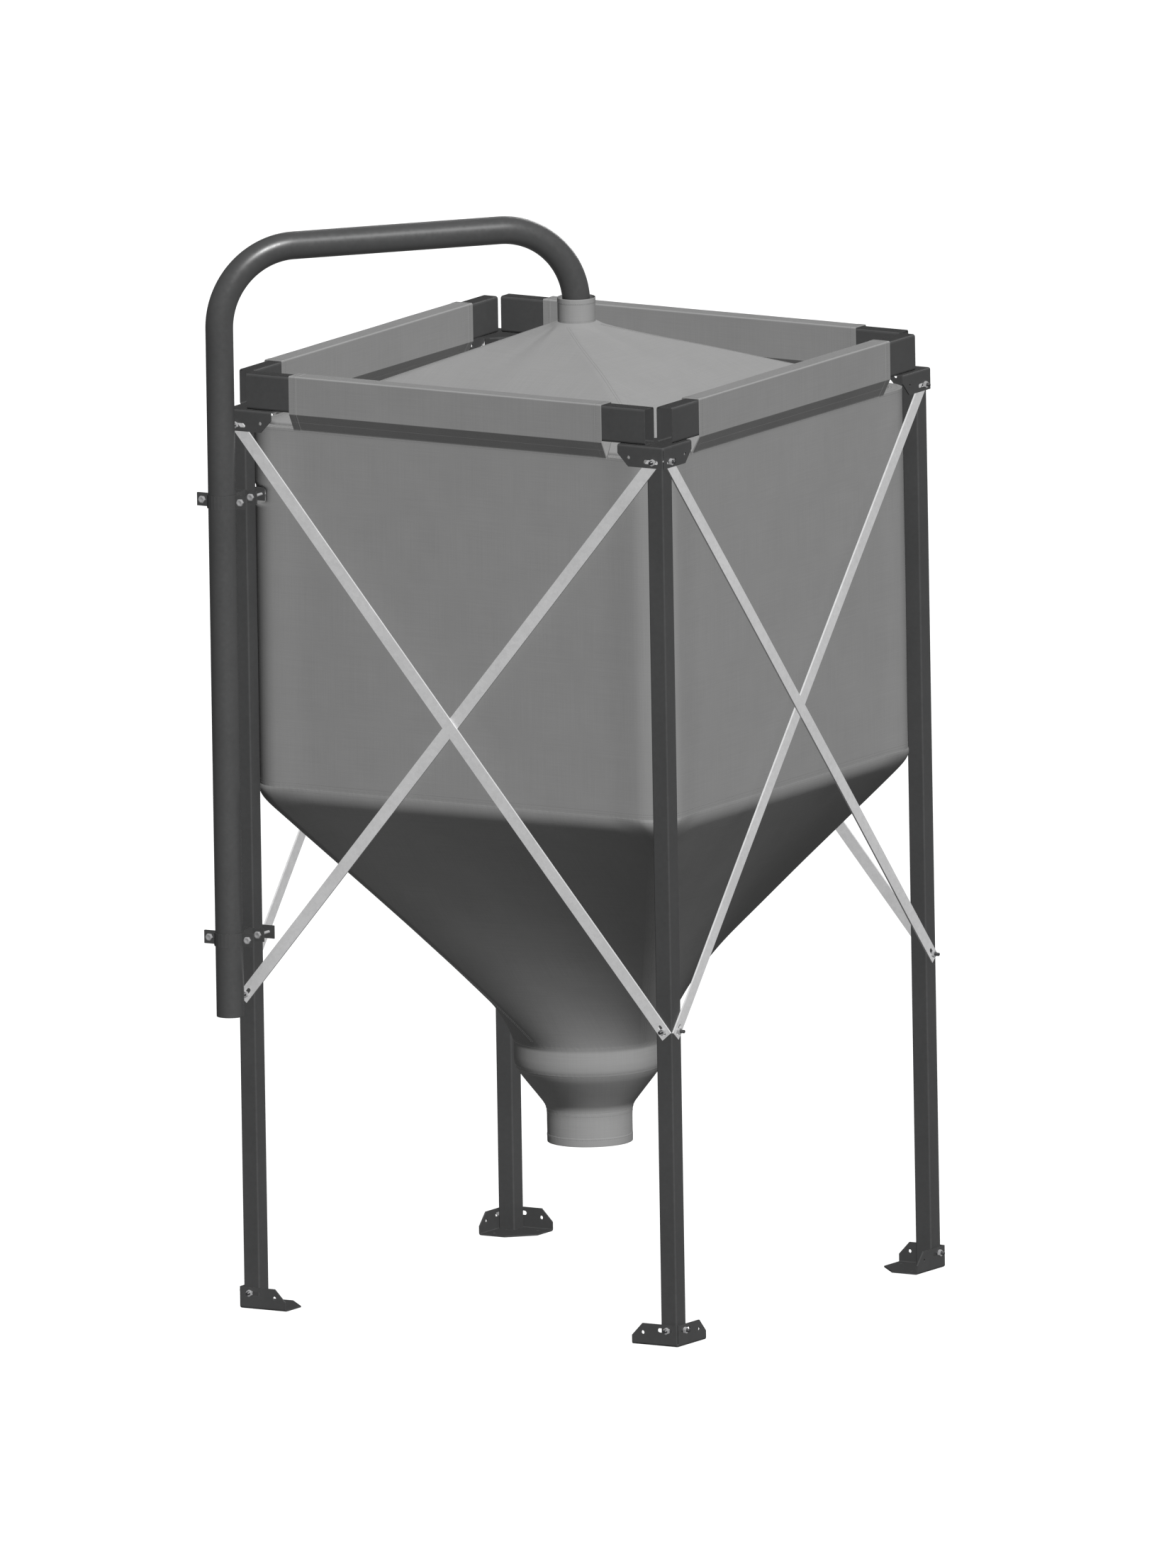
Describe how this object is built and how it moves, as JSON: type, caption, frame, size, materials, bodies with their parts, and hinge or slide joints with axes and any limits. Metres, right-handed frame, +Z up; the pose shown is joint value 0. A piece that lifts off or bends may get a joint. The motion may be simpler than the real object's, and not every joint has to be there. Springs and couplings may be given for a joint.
{
  "type": "flexible fabric grain silo in a steel frame",
  "caption": "Indoor silo: a fabric bag with hopper and outlet neck hung by sleeves in a braced steel frame, with a fill pipe clamped to one leg.",
  "frame": {"origin": "on the floor under the middle of the whole assembly's box, the frame's own centre is 22 mm to the right and 59 mm to the back of it because the fill pipe stands out at the front left", "axes": "+Z up, -Y the front with the fill pipe at its left end, +X the right-hand side"},
  "size_m": [1.448, 1.5226, 2.9861],
  "materials": {
    "frame_steel": "dark grey powder coat, satin",
    "galvanised": "light zinc plated flat bar and bolts",
    "bag_cloth": "woven polyester cloth, matt, light grey",
    "pipe_steel": "dark grey, semi gloss"
  },
  "bodies": {
    "root": {"leg_front_left": "frame_steel", "leg_front_right": "frame_steel", "leg_back_right": "frame_steel", "leg_back_left": "frame_steel", "corner_bracket_front_left": "frame_steel", "corner_bracket_front_right": "frame_steel", "corner_bracket_back_right": "frame_steel", "corner_bracket_back_left": "frame_steel", "foot_bracket_front_left": "frame_steel", "foot_bracket_front_right": "frame_steel", "foot_bracket_back_right": "frame_steel", "foot_bracket_back_left": "frame_steel", "top_tube_front": "frame_steel", "top_tube_right": "frame_steel", "top_tube_back": "frame_steel", "top_tube_left": "frame_steel", "brace_front_a": "galvanised", "brace_front_b": "galvanised", "brace_right_a": "galvanised", "brace_right_b": "galvanised", "brace_back_a": "galvanised", "brace_back_b": "galvanised", "brace_left_a": "galvanised", "brace_left_b": "galvanised", "sleeve_front": "bag_cloth", "sleeve_right": "bag_cloth", "sleeve_back": "bag_cloth", "sleeve_left": "bag_cloth", "bag_body": "bag_cloth", "bag_roof": "bag_cloth", "inlet_collar": "bag_cloth", "bag_hopper": "bag_cloth", "outlet_band": "bag_cloth", "outlet_cone": "bag_cloth", "outlet_neck": "bag_cloth", "fill_pipe_riser": "pipe_steel", "fill_pipe_outer_bend": "pipe_steel", "fill_pipe_run": "pipe_steel", "fill_pipe_inner_bend": "pipe_steel", "pipe_strap_lower": "frame_steel", "pipe_bracket_lower": "frame_steel", "clamp_plate_lower": "frame_steel", "pipe_strap_upper": "frame_steel", "pipe_bracket_upper": "frame_steel", "clamp_plate_upper": "frame_steel"}
  },
  "joints": []
}
